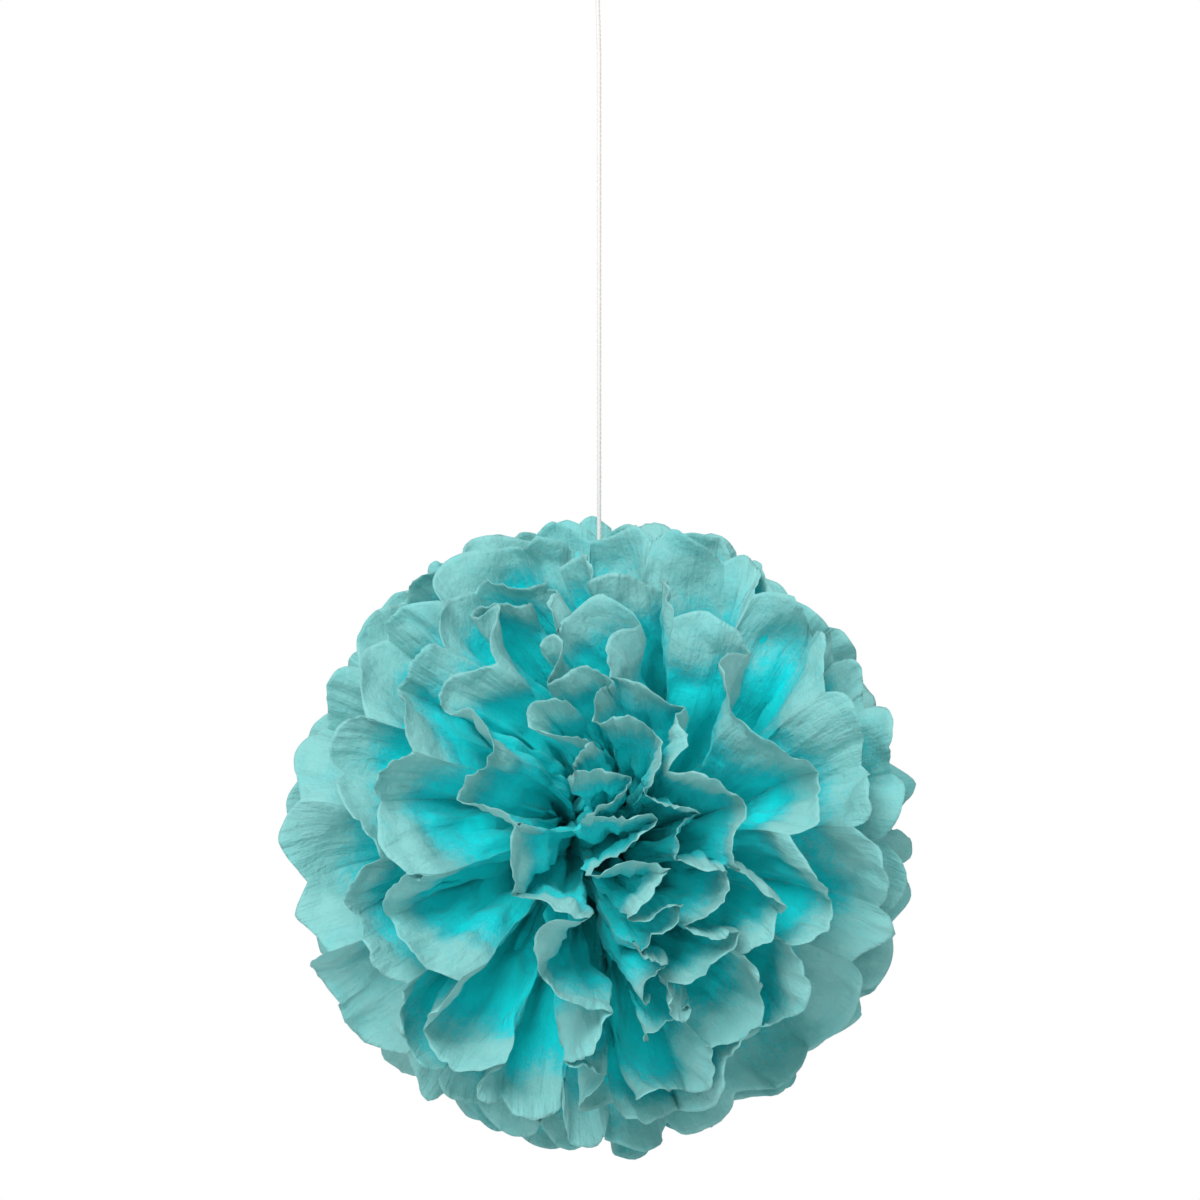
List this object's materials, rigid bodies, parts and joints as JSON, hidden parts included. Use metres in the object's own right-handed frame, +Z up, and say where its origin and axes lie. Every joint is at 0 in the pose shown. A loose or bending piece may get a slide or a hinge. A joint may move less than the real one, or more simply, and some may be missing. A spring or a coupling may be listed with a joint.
{
  "type": "tissue paper pom pom",
  "caption": "Hanging ball of pleated tissue paper sheets with scalloped ends, tied at the middle and pulled open into petals, on a straight cord with a knotted loop.",
  "frame": {"origin": "where a hook bears inside the top of the hanging loop", "axes": "+Z up along the cord; the flower's heart faces -Y; +X to the right, seen from the front"},
  "size_m": [0.3923, 0.3989, 0.7742],
  "materials": {
    "tissue": "matt turquoise tissue, paler at the tips and deeper between the petals",
    "cord": "white twisted cord",
    "tie_wire": "thin green coated wire"
  },
  "bodies": {
    "root": {"tissue_sheet_01": "tissue", "tissue_sheet_02": "tissue", "tissue_sheet_03": "tissue", "tissue_sheet_04": "tissue", "tissue_sheet_05": "tissue", "tissue_sheet_06": "tissue", "tissue_sheet_07": "tissue", "tissue_sheet_08": "tissue", "tissue_sheet_09": "tissue", "tissue_sheet_10": "tissue", "waist_tie": "tie_wire", "waist_hitch": "cord", "hanging_cord": "cord", "hanging_loop": "cord"}
  },
  "joints": []
}
